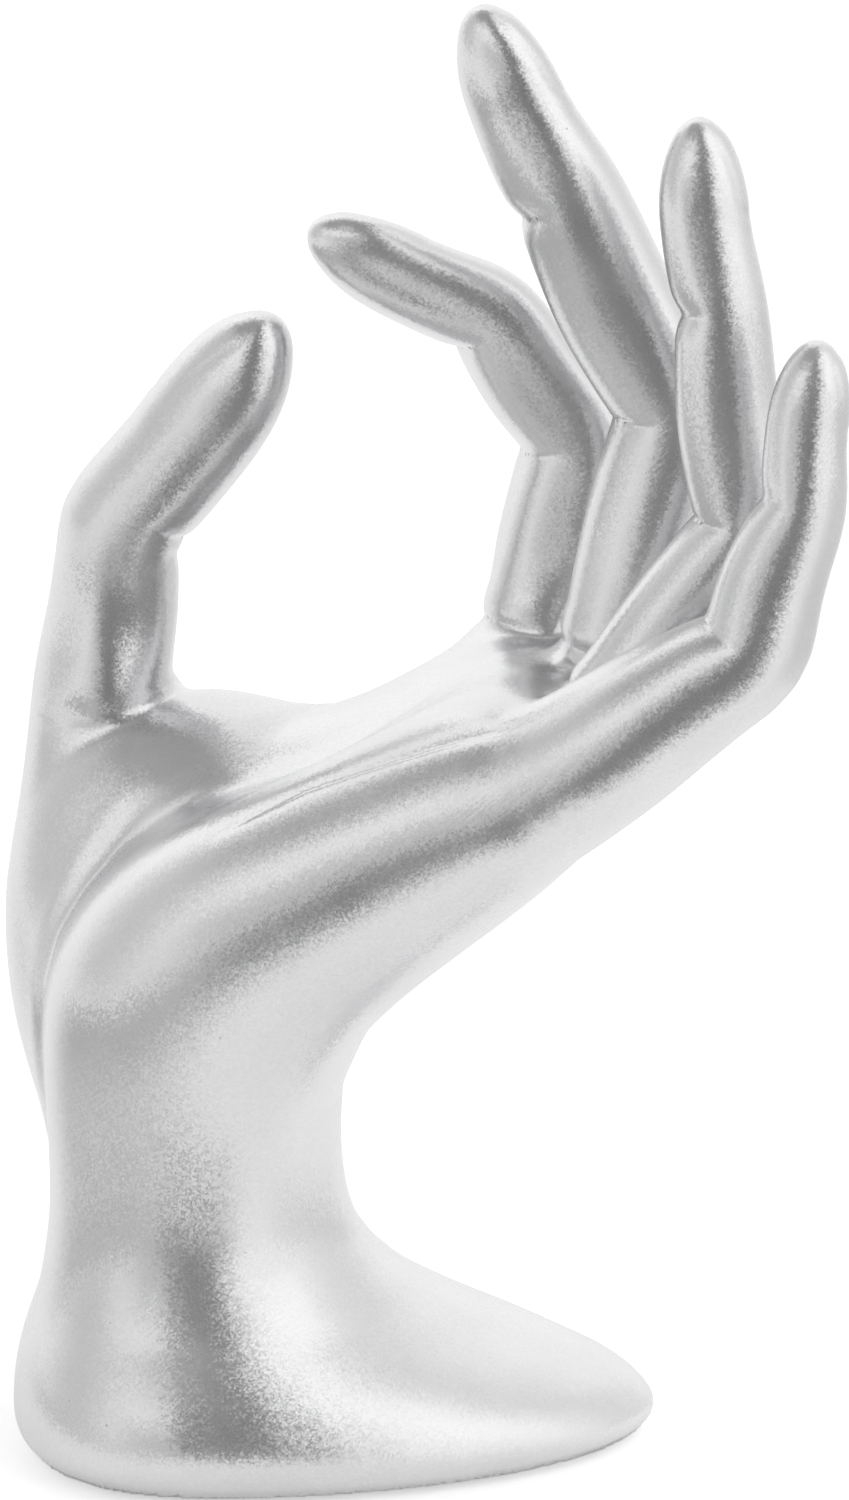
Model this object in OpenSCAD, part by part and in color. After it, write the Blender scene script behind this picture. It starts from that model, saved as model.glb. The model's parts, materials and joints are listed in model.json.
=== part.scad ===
// Hand-shaped jewelry stand: palm and foot in one casting, five doweled digits and a base pad.
// Millimetres, +Z up, fingers to +X, thumb side to +Y.

/* [Foot] */
// Reach of the toe beyond the back of the wrist
toe_reach = 36; // [24:0.5:44]
// Reach of the heel beyond the front of the wrist
heel_reach = 4.8; // [2:0.1:10]
// Flare of the foot on each side of the wrist
foot_flare = 9.2; // [6:0.1:14]
// Height of the widest line of the foot above its underside
rim_height = 2.6; // [1.5:0.1:4]
// Height over which the foot flares, as a share of the wrist height
flare_share = 0.36; // [0.28:0.01:0.44]

/* [Wrist] */
// Height at which the wrist starts to bend back
wrist_height = 40; // [34:0.5:50]
// Wrist from its front to its back
wrist_depth = 31.5; // [27:0.5:37]
// Wrist from side to side
wrist_width = 41; // [36:0.5:46]

/* [Palm] */
// Slope of the palm above the horizontal
palm_slope = 39; // [30:1:50]
// Inside radius of the bend at the back of the wrist
bend_radius = 11.5; // [9:0.5:15]
// Thickness at the heel of the hand
heel_depth = 34.5; // [31:0.5:38]
// Thickness of the edge of the palm halfway to the knuckles
palm_depth = 29; // [26:0.5:32]
// Thickness of the edge of the palm at the knuckles
knuckle_depth = 22.5; // [20:0.5:26]
// Depth of the hollow of the palm under its edge
hollow_depth = 6; // [3:0.5:8]
// Palm from side to side at the knuckles
palm_width = 56; // [52:0.5:60]
// Palm from the end of the wrist bend to the knuckles
palm_length = 32; // [28:0.5:38]

/* [Thumb] */
// Lengths of the root and the two phalanges
thumb_lengths = [5, 17.6, 30.8]; // [3:0.1:36]
// Turn of each phalanx against the one before it
thumb_bends = [66, -20.5, -29]; // [-60:0.5:80]
// Lean of each phalanx to the thumb side
thumb_leans = [-3, -3, -9]; // [-20:1:20]
// Half thickness at the root, at the two joints and near the tip
thumb_halves = [9.1, 8.6, 7.4, 6.6]; // [5:0.1:10]

/* [Index finger] */
// Lengths of the three phalanges
index_lengths = [21.5, 17.3, 23]; // [12:0.1:34]
// Turn of each phalanx against the one before it
index_bends = [40, 45, 28]; // [-10:1:70]
// Lean of each phalanx to the thumb side
index_leans = [5, -6, -9]; // [-20:1:20]
// Half thickness at the root, at the two joints and near the tip
index_halves = [6.6, 6.2, 5.7, 5]; // [4:0.1:8]

/* [Middle finger] */
// Lengths of the three phalanges
middle_lengths = [27.5, 26.5, 23.5]; // [14:0.5:36]
// Turn of each phalanx against the one before it
middle_bends = [39, 39, -2.5]; // [-10:0.5:70]
// Lean of each phalanx to the thumb side
middle_leans = [0, 0, 0]; // [-20:1:20]
// Half thickness at the root, at the two joints and near the tip
middle_halves = [6.9, 6.7, 6.4, 5.1]; // [4:0.1:8]

/* [Ring finger] */
// Lengths of the three phalanges
ring_lengths = [25, 24, 21.2]; // [14:0.1:36]
// Turn of each phalanx against the one before it
ring_bends = [17, 41, -0.5]; // [-10:0.5:70]
// Lean of each phalanx to the thumb side
ring_leans = [-1, 2, 4]; // [-20:1:20]
// Half thickness at the root, at the two joints and near the tip
ring_halves = [6.2, 5.7, 5.2, 4.6]; // [4:0.1:8]

/* [Little finger] */
// Lengths of the three phalanges
little_lengths = [18.5, 16.5, 18]; // [10:0.5:30]
// Turn of each phalanx against the one before it
little_bends = [-2, 35, 12]; // [-10:1:70]
// Lean of each phalanx to the thumb side
little_leans = [-3, 2, 5]; // [-20:1:20]
// Half thickness at the root, at the two joints and near the tip
little_halves = [7.9, 6.3, 4.9, 4.2]; // [4:0.1:8]

/* [Skin] */
// Depth of the folds on the palm side of the finger joints
crease_depth = 0.6; // [0:0.1:1]
// Height of the nails above the skin
nail_height = 0.35; // [0:0.05:0.6]
// Nail length as a share of the last phalanx
nail_share = 0.58; // [0.4:0.02:0.7]

/* [Joints and pad] */
// Diameter of the dowels in the digit joints
dowel_d = 3; // [2:0.1:4]
// Length of the dowels
dowel_length = 14; // [8:0.5:18]
// Clearance round the dowels
dowel_clearance = 0.05; // [0.02:0.01:0.15]
// Thickness of the base pad
pad_thick = 1.8; // [1.2:0.1:3]
// Height of the pad standing out of the underside
pad_proud = 0.8; // [0.4:0.1:1]
// Distance of the pad from the edge of the foot
pad_inset = 5; // [4:0.5:8]

/* [Hidden] */
silver = [0.76, 0.76, 0.77];
steel = [0.6, 0.6, 0.62];
felt = [0.1, 0.1, 0.11];

// Points on each ring of the digits and of the body
digit_n = 22;
body_n = 40;
// Facets of the flesh balls
ball_n = 26;

// The wrist bends round a line behind it, and the foot is centred on the origin
back_x = (wrist_depth + heel_reach - toe_reach) / 2;
pivot_x = back_x + bend_radius;
pivot_z = wrist_height;
mid_r = bend_radius + wrist_depth / 2;
bend_angle = 90 - palm_slope;
bend_length = mid_r * bend_angle * PI / 180;
palm_end = bend_length + palm_length;

function ease(t) = let (c = min(1, max(0, t))) c * c * (3 - 2 * c);
function mix(a, b, t) = a + (b - a) * t;
function power(v, p) = sign(v) * pow(abs(v), p);

// A point g along the wrist and palm, y across it and r out from the bend line
function hand_point(g, y, r) =
    g <= 0 ? [pivot_x - r, y, pivot_z + g]
    : g < bend_length ? let (a = g / mid_r * 180 / PI) [pivot_x - r * cos(a), y, pivot_z + r * sin(a)]
    : let (f = g - bend_length) [
        pivot_x - r * cos(bend_angle) + f * sin(bend_angle),
        y,
        pivot_z + r * sin(bend_angle) + f * cos(bend_angle)];

// Value at s of a list of [s, value] keys, on a smooth curve through them
function key_slope(keys, i) = let (a = max(0, i - 1), b = min(len(keys) - 1, i + 1))
    (keys[b][1] - keys[a][1]) / (keys[b][0] - keys[a][0]);
function keyed(s, keys, i = 0) =
    s <= keys[0][0] ? keys[0][1]
    : i >= len(keys) - 1 ? keys[len(keys) - 1][1]
    : s > keys[i + 1][0] ? keyed(s, keys, i + 1)
    : let (
        w = keys[i + 1][0] - keys[i][0],
        t = (s - keys[i][0]) / w,
        rise = ease(t))
        mix(keys[i][1], keys[i + 1][1], rise)
        + w * key_slope(keys, i) * t * (1 - t) * (1 - t)
        - w * key_slope(keys, i + 1) * t * t * (1 - t);

// Skin over a list of rings that all have the same number of points
module loft(rings) {
    n = len(rings[0]);
    m = len(rings);
    points = [for (ring = rings) each ring];
    sides = [for (i = [0:m - 2], k = [0:n - 1]) each let (
        a = i * n + k,
        b = i * n + (k + 1) % n,
        c = a + n,
        d = b + n) [[a, c, b], [b, c, d]]];
    ends = [[for (k = [0:n - 1]) k], [for (k = [n - 1:-1:0]) (m - 1) * n + k]];
    polyhedron(points = points, faces = concat(sides, ends), convexity = 10);
}

// Thickness of the back of the hand outside the bend, and the front of the heel of the hand
back_skin = 1.5;
back_r = bend_radius + back_skin;
heel_r = bend_radius + heel_depth;

// Places on the palm: g as a share of its length, y of its width, r of the thickness at the knuckles
function on_palm(g, y, r) = [g * palm_end, y * palm_width, back_r + r * knuckle_depth];
// Places past the end of the palm, with g as a share of the length of the flat of the palm
function past_palm(g, y, r) = [palm_end + g * palm_length, y * palm_width, back_r + r * knuckle_depth];
// Places on the mound of the thumb, with r from the front of the heel of the hand, as a share of its thickness
function on_mound(g, y, r) = [g * palm_end, y * palm_width, heel_r + r * heel_depth];

// Each digit: seat [g, y, r], lengths, turns, leans, halves and the side the palm faces
thumb_data = [on_mound(0.378, 0.429, 0.1246), thumb_lengths, thumb_bends, thumb_leans, thumb_halves, -1];
index_data = [past_palm(0.1875, 0.375, 0.729), index_lengths, index_bends, index_leans, index_halves, 1];
middle_data = [past_palm(0.4125, 0.125, 0.511), middle_lengths, middle_bends, middle_leans, middle_halves, 1];
ring_data = [past_palm(0.3187, -0.143, 0.422), ring_lengths, ring_bends, ring_leans, ring_halves, 1];
little_data = [past_palm(0.3031, -0.402, 0.42), little_lengths, little_bends, little_leans, little_halves, 1];
digits = [thumb_data, index_data, middle_data, ring_data, little_data];

function total(list, n) = n <= 0 ? 0 : list[n - 1] + total(list, n - 1);
function digit_length(d) = total(d[1], len(d[1]));
function seat_of(d) = hand_point(d[0][0], d[0][1], d[0][2]);

// Slope and lean of a digit at the length s along it, rounded over each joint
joint_reach = 3.6;
socket_room = 0.04;
groove_width = 0.2;
groove_height = 1.2;
socket_reach = 16;
dowel_end_room = 0.4;
function turned(list, d, s, i = 0) =
    i >= len(list) ? 0
    : list[i] * (i == 0 ? 1 : ease(0.5 + (s - total(d[1], i)) / (2 * joint_reach))) + turned(list, d, s, i + 1);
function leaned(list, d, s) = let (steps = [for (i = [0:len(list) - 1]) i == 0 ? list[0] : list[i] - list[i - 1]])
    turned(steps, d, s);
function slope_at(d, s) = palm_slope + turned(d[2], d, s);
function lean_at(d, s) = leaned(d[3], d, s);
function along(d, s) = let (a = slope_at(d, s), b = lean_at(d, s)) [cos(a) * cos(b), sin(b), sin(a) * cos(b)];
function palmward(d, s) = let (a = slope_at(d, s)) d[5] * [-sin(a), 0, cos(a)];

// Lengths along a digit at which its rings lie, closer together over the tip
ring_step = 2.1;
tip_share = 0.5;
function tip_start(d) = digit_length(d) - tip_share * d[1][len(d[1]) - 1];
function ring_places(d) = let (
    start = tip_start(d),
    last = len(d[1]) - 1,
    reach = digit_length(d) - start)
    concat(
        [for (i = [0:last]) each let (
            a = total(d[1], i),
            b = i == last ? start : total(d[1], i + 1),
            steps = round((b - a) / ring_step))
            [for (k = [0:steps - 1]) mix(a, b, k / steps)]],
        [for (i = [0:8]) start + reach * sin(i * 88 / 8)]);

// Middle line of a digit at those lengths
function middle_line(d, places) = [
    for (i = 0, p = seat_of(d);
        i < len(places);
        p = i < len(places) - 1
            ? p + (places[i + 1] - places[i]) * along(d, (places[i] + places[i + 1]) / 2) : p,
        i = i + 1) p];

// Swell of the palm side, the back and the flanks at the root, each joint and each phalanx
function swell(d, low, high, end) = let (n = len(d[1])) concat(
    [for (i = [0:n - 1]) each [
        [total(d[1], i), i == 0 ? 1 : low],
        [total(d[1], i) + d[1][i] * (i == n - 1 ? 0.5 : 0.5), i == n - 1 ? end : high]]]);

// Outline of a digit at s, larger by grow all round and set on by a share of a facet, as [across, towards the palm] points
function digit_outline(d, s, grow = 0, on = 0) = let (
    size = keyed(s, [[0, d[4][0]], [d[1][0], d[4][1]], [d[1][0] + d[1][1], d[4][2]], [tip_start(d), d[4][3]]]),
    u = max(0, (s - tip_start(d)) / (digit_length(d) - tip_start(d))),
    close = sqrt(max(0, 1 - u * u)),
    front = size * keyed(s, swell(d, 0.94, 1.02, 1.05)) * close + grow,
    back = size * keyed(s, swell(d, 1.04, 0.98, 0.92)) * close + grow,
    flank = size * keyed(s, swell(d, 1.02, 0.97, 0.98)) * close + grow)
    [for (k = [0:digit_n - 1]) let (
        a = 360 * (k + on) / digit_n,
        fold = crease_at(d, s) * max(0, sin(a)),
        plate = nail_at(d, s) * ease((0.72 - abs(cos(a))) / 0.2) * (sin(a) < 0 ? 1 : 0))
        [flank * power(cos(a), 0.92), (sin(a) > 0 ? front - fold : back + plate) * power(sin(a), 0.92)]];

// The same outline set square to the digit at the point p
function digit_ring(d, s, p, grow = 0, on = 0) = let (n = palmward(d, s), b = cross(n, along(d, s)))
    [for (q = digit_outline(d, s, grow, on)) p + q[0] * b + q[1] * n];

// Depth of the folds on the palm side of the last two joints, and height of the nail plate
crease_half = 1.4;
nail_rise = 1.6;
nail_fall = 1.2;
function crease_at(d, s) = let (n = len(d[1]))
    crease_depth * (exp(-pow((s - total(d[1], n - 1)) / crease_half, 2)) + (n > 2 && d[5] > 0 ? exp(-pow((s - total(d[1], n - 2)) / crease_half, 2)) : 0));
function nail_at(d, s) = let (
    last = d[1][len(d[1]) - 1],
    start = digit_length(d) - nail_share * last,
    stop = digit_length(d) - 0.07 * last)
    nail_height * ease(0.5 + (s - start) / nail_rise) * ease(0.5 + (stop - s) / nail_fall);

function digit_rings(d) = let (places = ring_places(d), line = middle_line(d, places))
    [for (i = [0:len(places) - 1]) digit_ring(d, places[i], line[i])];

// The start of a digit with a hair of room round it, and its flat seat with a fine groove round that
module socket(d) {
    places = concat([0, groove_height / 2], [for (s = ring_places(d)) if (s > groove_height && s < socket_reach) s]);
    line = middle_line(d, places);
    loft([for (i = [1:len(places) - 1]) digit_ring(d, places[i], line[i], socket_room)]);
    at_seat(d)
        linear_extrude(groove_height)
            polygon([for (q = digit_outline(d, 0, groove_width)) d[5] * [-q[1], q[0]]]);
}

// Turns +Z to the direction in which a digit leaves its seat
module at_seat(d) {
    translate(seat_of(d))
        rotate([0, 90 - slope_at(d, 0), 0])
            rotate([-lean_at(d, 0), 0, 0])
                children();
}

module dowel_shape(d, extra, gap) {
    at_seat(d)
        cylinder(d = dowel_d + 2 * extra, h = dowel_length + 2 * gap, center = true, $fn = 32);
}

module digit(d) {
    color(silver)
        difference() {
            loft(digit_rings(d));
            dowel_shape(d, dowel_clearance, dowel_end_room);
        }
}

module thumb() digit(thumb_data);
module index_finger() digit(index_data);
module middle_finger() digit(middle_data);
module ring_finger() digit(ring_data);
module little_finger() digit(little_data);

module digit_dowels() {
    color(steel)
        for (d = digits)
            dowel_shape(d, 0, 0);
}

// Flare of the foot at the height z, 1 at the rim and 0 up at the wrist
flare_start = pad_proud + rim_height;
toe_fall = 1.42;
foot_shift = 3.6;
flare_scale = flare_share * (wrist_height - flare_start);
function flare(z) = z < flare_start ? 1 : exp(-pow((z - flare_start) / flare_scale, 2.6));
function toe_flare(z) = z < flare_start ? 1 : exp(-toe_fall * pow((z - flare_start) / flare_scale, 1.85));
function rim_round(z) = z >= flare_start ? 0
    : rim_height * (1 - sqrt(max(0, 1 - pow((flare_start - z) / rim_height, 2)))) * 0.8;

// Outline of the wrist and foot at the height z, drawn in by inset, as [y, r] points
function foot_outline(z, inset) = let (
    f = flare(z),
    cut = inset + rim_round(z),
    centre = mid_r - foot_shift * f,
    heel = wrist_depth / 2 + (heel_reach + foot_shift) * f - cut,
    toe = wrist_depth / 2 + (toe_reach - foot_shift) * toe_flare(z) - cut,
    half = wrist_width / 2 + foot_flare * f - cut,
    toe_power = mix(2.1, 1.85, f))
    oval(half, heel, toe, centre, 2.5, toe_power);

function oval(half, up, down, centre, up_power, down_power) =
    [for (k = [0:body_n - 1]) let (
        a = 360 * k / body_n,
        p = sin(a) > 0 ? 2 / up_power : 2 / down_power)
        [half * power(cos(a), p), centre + (sin(a) > 0 ? up : down) * power(sin(a), p)]];

// Wrist bend and palm: the back, the edge on the little-finger side, the hollow and the thumb side
heel_place = 0.2 * palm_end;
half_place = 0.58 * palm_end;
end_round = 8;
wrist_lead = 10;
wrist_swell = 0.6;
heel_dip = 0.8;
palm_dip = 1.25;
knuckle_dip = 0.9;
end_lead = 6;
end_lift = 6.5;
end_narrow = 3;
end_drop = 7;
hollow_drop = 5.5;
function edge_r(g) = keyed(g, [[-wrist_lead, bend_radius + wrist_depth], [0, bend_radius + wrist_depth + wrist_swell],
    [heel_place, bend_radius + heel_depth], [half_place, back_r + palm_depth], [palm_end, back_r + knuckle_depth]]);
function hollow_r(g) = edge_r(g) - hollow_depth * keyed(g, [[0, 0], [heel_place, 0.25], [0.6 * palm_end, 1],
    [palm_end, 0.45]]);
function back_of(g) = keyed(g, [[0, bend_radius], [heel_place, bend_radius - heel_dip], [0.45 * palm_end, back_r - palm_dip],
    [palm_end, back_r - knuckle_dip]]);
function half_of(g) = keyed(g, [[-wrist_lead, wrist_width / 2], [0, wrist_width / 2], [0.45 * palm_end, mix(wrist_width, palm_width, 0.55) / 2],
    [palm_end, palm_width / 2]]);
function palm_ring(g) = let (
    past = max(0, g - palm_end) / end_round,
    low = back_of(g) + end_lift * pow(max(0, g - palm_end + end_lead) / (end_round + end_lead), 1.6),
    half = half_of(g) - end_narrow * past * past,
    edge = edge_r(g) - end_drop * pow(past, 1.4),
    hollow = hollow_r(g) - hollow_drop * pow(past, 1.4),
    centre = mix(low, edge, 0.5))
    [for (k = [0:body_n - 1]) let (
        a = 360 * k / body_n,
        c = cos(a),
        s = sin(a),
        dip = exp(-pow((c - 0.12) / 0.42, 2)),
        top = mix(edge + 0.06 * (edge - centre), hollow, dip))
        [half * power(c, 0.86), centre + (s > 0 ? (top - centre) * power(s, 0.78) : (centre - low) * power(s, 0.86))]];

foot_heights = [pad_proud, pad_proud + 0.2 * rim_height, pad_proud + 0.54 * rim_height, flare_start,
    for (i = [1:11]) mix(flare_start, wrist_height, i / 11)];
palm_places = [for (i = [1:17]) palm_end * i / 17, for (i = [1:4]) palm_end + end_round * i / 4];

// The wrist outline turns into the palm's over a short way on both sides of the bend's start
blend_lead = 14;
blend_reach = 24;
function hand_ring(g) = let (
    w = ease((g + blend_lead) / blend_reach),
    a = foot_outline(wrist_height + min(0, g), 0),
    b = palm_ring(max(0, g)))
    [for (k = [0:body_n - 1]) let (q = mix(a[k], b[k], w)) hand_point(g, q[0], q[1])];

// The end of the palm closes in a low dome between the finger roots
dome_rise = 1.5;
palm_way = [cos(palm_slope), 0, sin(palm_slope)];
function centre_of(ring) = [for (i = [0:2]) total([for (q = ring) q[i]], len(ring)) / len(ring)];
function dome(ring) = let (c = centre_of(ring)) [for (q = ring) mix(c, q, 0.05) + dome_rise * palm_way];

module core() {
    rings = concat(
        [for (z = foot_heights) hand_ring(z - wrist_height)],
        [for (g = palm_places) hand_ring(g)]);
    loft(concat(rings, [dome(rings[len(rings) - 1])]));
}

// Flesh between balls at [g, y, r, radius]
module flesh(balls) {
    for (i = [0:len(balls) - 2])
        hull() {
            ball(balls[i]);
            ball(balls[i + 1]);
        }
}

module sheet(balls) {
    hull()
        for (b = balls)
            ball(b);
}

module ball(b) {
    translate(hand_point(b[0], b[1], b[2]))
        sphere(r = b[3], $fn = ball_n);
}

// Flesh that runs from a ball to the seat of a digit, and a little past it for the socket to cut off flat
stub_past = 0.5;
module stub(b, d) {
    step = stub_past * along(d, 0);
    back = digit_ring(d, 0, seat_of(d) - step, 0.3 * stub_past);
    past = digit_ring(d, 0, seat_of(d) + step, -0.3 * stub_past, 0.5);
    hull() {
        ball(b);
        loft([back, past]);
    }
}

// A ball at a place, with its radius as a share of the half thickness of the digit it leads to
function at(place, share, d) = concat(place, [share * d[4][0]]);
// Places on the wrist: g as a share of its height, y of its width, r as on the mound
function on_wrist(g, y, r) = [-g * wrist_height, y * wrist_width, heel_r + r * heel_depth];

thumb_ball = [
    at(on_wrist(0.6, 0.122, -0.5652), 1.43, thumb_data),
    at(on_wrist(0.325, 0.171, -0.5217), 1.47, thumb_data),
    at(on_wrist(0.1, 0.244, -0.429), 1.49, thumb_data),
    at(on_mound(0.085, 0.25, -0.3014), 1.49, thumb_data),
    at(on_mound(0.195, 0.304, -0.1797), 1.41, thumb_data),
    at(on_mound(0.288, 0.357, -0.029), 1.23, thumb_data),
    at(on_mound(0.3375, 0.402, 0.0812), 1.055, thumb_data)];
index_ray = [at(past_palm(-0.5625, 0.268, 0.356), 1.25, index_data), at(past_palm(-0.1094, 0.3625, 0.378), 1.31, index_data)];
middle_ray = [at(past_palm(-0.4375, 0.09, 0.289), 1.22, middle_data), at(past_palm(0.0719, 0.12, 0.258), 1.22, middle_data)];
ring_ray = [at(past_palm(-0.5, -0.125, 0.311), 1.35, ring_data), at(past_palm(-0.0625, -0.136, 0.311), 1.32, ring_data)];
little_ray = [at(past_palm(-0.5, -0.304, 0.45), 0.97, little_data), at(past_palm(-0.0625, -0.379, 0.425), 1.06, little_data)];
web = [
    at(on_mound(0.284, 0.357, -0.0435), 1.42, index_data),
    at(on_mound(0.446, 0.393, -0.125), 1.06, index_data),
    at(on_mound(0.515, 0.393, -0.2957), 1.075, index_data),
    at(on_palm(0.64, 0.393, 0.705), 1.045, index_data),
    at(on_palm(0.835, 0.393, 0.645), 1.015, index_data),
    at(past_palm(-0.0406, 0.375, 0.64), 0.985, index_data)];
palm_side = [
    at(on_mound(0.213, 0.268, -0.2609), 1.64, index_data),
    at(on_mound(0.408, 0.357, -0.1739), 1.19, index_data),
    at(on_palm(0.64, 0.357, 0.65), 1.1, index_data),
    at(on_palm(0.39, 0.107, 0.71), 1.27, index_data)];
// The side between the web and the index ray lies a little under both
side_under = 0.35;
thumb_side = [for (b = [web[3], web[5], index_ray[0], index_ray[1]]) [b[0], b[1], b[2], b[3] - side_under]];

module hand_body() {
    color(silver)
        difference() {
            union() {
                core();
                flesh(thumb_ball);
                flesh(index_ray);
                flesh(middle_ray);
                flesh(ring_ray);
                flesh(little_ray);
                flesh(web);
                sheet(palm_side);
                sheet(thumb_side);
                stub(thumb_ball[6], thumb_data);
                stub(index_ray[1], index_data);
                stub(web[5], index_data);
                stub(middle_ray[1], middle_data);
                stub(ring_ray[1], ring_data);
                stub(little_ray[1], little_data);
            }
            for (d = digits) {
                socket(d);
                dowel_shape(d, dowel_clearance, dowel_end_room);
            }
            pad_shape(pad_thick, -pad_room);
        }
}

pad_room = 0.2;
module pad_shape(top, extra) {
    linear_extrude(top)
        polygon([for (q = foot_outline(flare_start, pad_inset + extra)) [pivot_x - q[1], q[0]]]);
}

module base_pad() {
    color(felt)
        pad_shape(pad_thick, 0);
}

hand_body();
thumb();
index_finger();
middle_finger();
ring_finger();
little_finger();
digit_dowels();
base_pad();
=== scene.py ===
import json
import math

import bpy
import numpy as np
import openvdb
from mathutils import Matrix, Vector

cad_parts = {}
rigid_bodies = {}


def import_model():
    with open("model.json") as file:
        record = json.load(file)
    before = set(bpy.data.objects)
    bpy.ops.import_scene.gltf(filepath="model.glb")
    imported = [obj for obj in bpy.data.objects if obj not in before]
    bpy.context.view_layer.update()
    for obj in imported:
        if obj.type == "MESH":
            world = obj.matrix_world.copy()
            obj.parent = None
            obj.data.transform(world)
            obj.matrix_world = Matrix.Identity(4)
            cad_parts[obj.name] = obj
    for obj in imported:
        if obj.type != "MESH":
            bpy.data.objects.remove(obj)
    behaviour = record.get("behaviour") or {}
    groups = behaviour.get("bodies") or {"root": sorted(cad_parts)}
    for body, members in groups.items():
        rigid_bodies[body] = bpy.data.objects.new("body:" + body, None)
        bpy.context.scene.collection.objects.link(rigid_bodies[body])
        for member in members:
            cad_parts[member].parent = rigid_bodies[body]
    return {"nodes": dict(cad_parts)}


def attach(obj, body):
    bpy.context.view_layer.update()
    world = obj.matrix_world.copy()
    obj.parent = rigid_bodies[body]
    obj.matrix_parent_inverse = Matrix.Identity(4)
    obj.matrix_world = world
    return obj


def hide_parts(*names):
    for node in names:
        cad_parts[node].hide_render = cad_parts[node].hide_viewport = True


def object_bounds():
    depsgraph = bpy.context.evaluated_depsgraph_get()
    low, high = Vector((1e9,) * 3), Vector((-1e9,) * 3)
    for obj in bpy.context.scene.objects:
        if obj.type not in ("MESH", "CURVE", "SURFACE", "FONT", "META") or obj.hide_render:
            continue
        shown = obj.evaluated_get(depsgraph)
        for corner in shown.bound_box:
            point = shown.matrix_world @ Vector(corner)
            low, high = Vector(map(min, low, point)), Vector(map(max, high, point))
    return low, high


for leftover in list(bpy.data.objects):
    bpy.data.objects.remove(leftover)

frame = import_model()
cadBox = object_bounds()
scene = bpy.context.scene
print("frame loaded:", sorted(frame["nodes"]))


# sculpting is done in millimetres, Blender gets metres
def ease(t):
    t = np.clip(t, 0.0, 1.0)
    return t * t * (3.0 - 2.0 * t)


def mix(a, b, t):
    return a + (b - a) * t


def unit(v):
    return v / np.maximum(np.linalg.norm(v, axis=1), 1e-9)[:, None]


def softMin(a, b, k):
    h = np.clip(0.5 + 0.5 * (b - a) / k, 0.0, 1.0)
    return mix(b, a, h) - k * h * (1.0 - h)


def softMax(a, b, k):
    return -softMin(-a, -b, k)


def nodeMesh(name):
    me = frame["nodes"][name].data
    me.calc_loop_triangles()
    points = np.zeros(len(me.vertices) * 3, np.float32)
    me.vertices.foreach_get("co", points)
    tris = np.zeros(len(me.loop_triangles) * 3, np.int32)
    me.loop_triangles.foreach_get("vertices", tris)
    return points.reshape(-1, 3) * 1000.0, tris.reshape(-1, 3)


# layout of the hand, the same sizes as the solids
hand = {
    "bendRadius": 11.5, "wristDepth": 31.5, "wristHeight": 40.0,
    "palmSlope": 39.0, "palmLength": 32.0, "palmWidth": 56.0,
    "knuckleDepth": 22.5, "heelDepth": 34.5, "backSkin": 1.5,
    "toeReach": 36.0, "heelReach": 4.8, "jointReach": 3.6,
}
pivotX = (hand["wristDepth"] + hand["heelReach"] - hand["toeReach"]) / 2 + hand["bendRadius"]
midR = hand["bendRadius"] + hand["wristDepth"] / 2
bendLength = midR * math.radians(90 - hand["palmSlope"])
palmEnd = bendLength + hand["palmLength"]


# g along the wrist and palm, y across, r out from the bend line
def handPoint(g, y, r):
    a = min(max(g, 0.0), bendLength) / midR
    f = max(0.0, g - bendLength)
    return np.array([pivotX - r * math.cos(a) + f * math.sin(a), y,
                     hand["wristHeight"] + min(0.0, g) + r * math.sin(a) + f * math.cos(a)])


def pastPalm(g, y, r):
    return handPoint(palmEnd + g * hand["palmLength"], y * hand["palmWidth"],
                     hand["bendRadius"] + hand["backSkin"] + r * hand["knuckleDepth"])


def onMound(g, y, r):
    return handPoint(g * palmEnd, y * hand["palmWidth"], hand["bendRadius"] + (1 + r) * hand["heelDepth"])


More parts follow.
